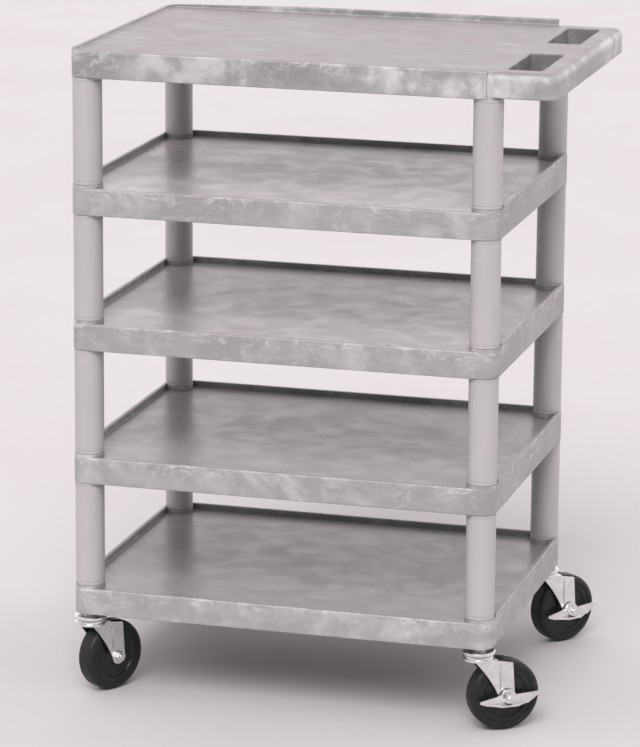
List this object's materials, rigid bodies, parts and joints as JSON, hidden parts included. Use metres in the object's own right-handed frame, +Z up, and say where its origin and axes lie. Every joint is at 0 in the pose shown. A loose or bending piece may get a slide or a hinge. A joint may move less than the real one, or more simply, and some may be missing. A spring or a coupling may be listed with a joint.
{
  "type": "utility cart",
  "caption": "Open moulded-plastic utility cart: stacked shelves on round tube legs, a push handle with two hand holes at one end, and swivel casters, some with side brakes.",
  "frame": {"origin": "middle of the footprint at floor level", "axes": "+Z up, +X towards the push handle, -Y towards the open front edge of the shelves"},
  "size_m": [0.6874, 0.5103, 0.935],
  "materials": {
    "shelf_plastic": "matte, swirled structural foam",
    "leg_plastic": "satin extruded plastic",
    "zinc_steel": "bright zinc plate",
    "bearing_steel": "plain steel",
    "wheel_plastic": "satin moulded",
    "tyre_rubber": "soft rubber"
  },
  "bodies": {
    "cart_frame": {"bottom_shelf": "shelf_plastic", "lower_shelf": "shelf_plastic", "middle_shelf": "shelf_plastic", "upper_shelf": "shelf_plastic", "top_shelf": "shelf_plastic", "front_left_leg_1": "leg_plastic", "front_right_leg_1": "leg_plastic", "rear_left_leg_1": "leg_plastic", "rear_right_leg_1": "leg_plastic", "front_left_leg_2": "leg_plastic", "front_right_leg_2": "leg_plastic", "rear_left_leg_2": "leg_plastic", "rear_right_leg_2": "leg_plastic", "front_left_leg_3": "leg_plastic", "front_right_leg_3": "leg_plastic", "rear_left_leg_3": "leg_plastic", "rear_right_leg_3": "leg_plastic", "front_left_leg_4": "leg_plastic", "front_right_leg_4": "leg_plastic", "rear_left_leg_4": "leg_plastic", "rear_right_leg_4": "leg_plastic", "front_left_caster_stem": "zinc_steel", "front_right_caster_stem": "zinc_steel", "rear_left_caster_stem": "zinc_steel", "rear_right_caster_stem": "zinc_steel", "front_left_top_race": "zinc_steel", "front_right_top_race": "zinc_steel", "rear_left_top_race": "zinc_steel", "rear_right_top_race": "zinc_steel", "swivel_balls": "bearing_steel", "stem_grip_rings": "bearing_steel", "caster_sockets": "bearing_steel"},
    "front_left_caster": {"front_left_fork": "zinc_steel", "front_left_axle_bolt": "zinc_steel", "front_left_axle_nut": "zinc_steel", "front_left_axle_sleeve": "zinc_steel"},
    "front_left_wheel": {"front_left_wheel_core": "wheel_plastic", "front_left_tyre": "tyre_rubber"},
    "front_right_caster": {"front_right_fork": "zinc_steel", "front_right_axle_bolt": "zinc_steel", "front_right_axle_nut": "zinc_steel", "front_right_axle_sleeve": "zinc_steel", "front_right_brake_plate": "zinc_steel"},
    "front_right_wheel": {"front_right_wheel_core": "wheel_plastic", "front_right_tyre": "tyre_rubber"},
    "front_right_brake": {"front_right_brake_pedal": "zinc_steel"},
    "rear_left_caster": {"rear_left_fork": "zinc_steel", "rear_left_axle_bolt": "zinc_steel", "rear_left_axle_nut": "zinc_steel", "rear_left_axle_sleeve": "zinc_steel"},
    "rear_left_wheel": {"rear_left_wheel_core": "wheel_plastic", "rear_left_tyre": "tyre_rubber"},
    "rear_right_caster": {"rear_right_fork": "zinc_steel", "rear_right_axle_bolt": "zinc_steel", "rear_right_axle_nut": "zinc_steel", "rear_right_axle_sleeve": "zinc_steel", "rear_right_brake_plate": "zinc_steel"},
    "rear_right_wheel": {"rear_right_wheel_core": "wheel_plastic", "rear_right_tyre": "tyre_rubber"},
    "rear_right_brake": {"rear_right_brake_pedal": "zinc_steel"}
  },
  "joints": [
    {"name": "front_left_swivel", "type": "hinge", "parent": "cart_frame", "child": "front_left_caster", "pos_m": [-0.32085, -0.23222, 0.108], "axis": [0, 0, 1], "continuous": true},
    {"name": "front_left_roll", "type": "hinge", "parent": "front_left_caster", "child": "front_left_wheel", "pos_m": [-0.30285, -0.20104, 0.0508], "axis": [0.866, -0.5, 0], "continuous": true},
    {"name": "front_right_swivel", "type": "hinge", "parent": "cart_frame", "child": "front_right_caster", "pos_m": [0.24615, -0.23222, 0.108], "axis": [0, 0, 1], "continuous": true},
    {"name": "front_right_roll", "type": "hinge", "parent": "front_right_caster", "child": "front_right_wheel", "pos_m": [0.27564, -0.21157, 0.0508], "axis": [0.5736, -0.8192, 0], "continuous": true},
    {"name": "front_right_brake_rock", "type": "hinge", "parent": "front_right_caster", "child": "front_right_brake", "pos_m": [0.27564, -0.21157, 0.0508], "axis": [0.5736, -0.8192, 0], "range_deg": [0, 18]},
    {"name": "rear_left_swivel", "type": "hinge", "parent": "cart_frame", "child": "rear_left_caster", "pos_m": [-0.32085, 0.18238, 0.108], "axis": [0, 0, 1], "continuous": true},
    {"name": "rear_left_roll", "type": "hinge", "parent": "rear_left_caster", "child": "rear_left_wheel", "pos_m": [-0.29676, 0.20914, 0.0508], "axis": [0.7431, -0.6691, 0], "continuous": true},
    {"name": "rear_right_swivel", "type": "hinge", "parent": "cart_frame", "child": "rear_right_caster", "pos_m": [0.24615, 0.18238, 0.108], "axis": [0, 0, 1], "continuous": true},
    {"name": "rear_right_roll", "type": "hinge", "parent": "rear_right_caster", "child": "rear_right_wheel", "pos_m": [0.26929, 0.20996, 0.0508], "axis": [0.766, -0.6428, 0], "continuous": true},
    {"name": "rear_right_brake_rock", "type": "hinge", "parent": "rear_right_caster", "child": "rear_right_brake", "pos_m": [0.26929, 0.20996, 0.0508], "axis": [0.766, -0.6428, 0], "range_deg": [0, 18]}
  ]
}
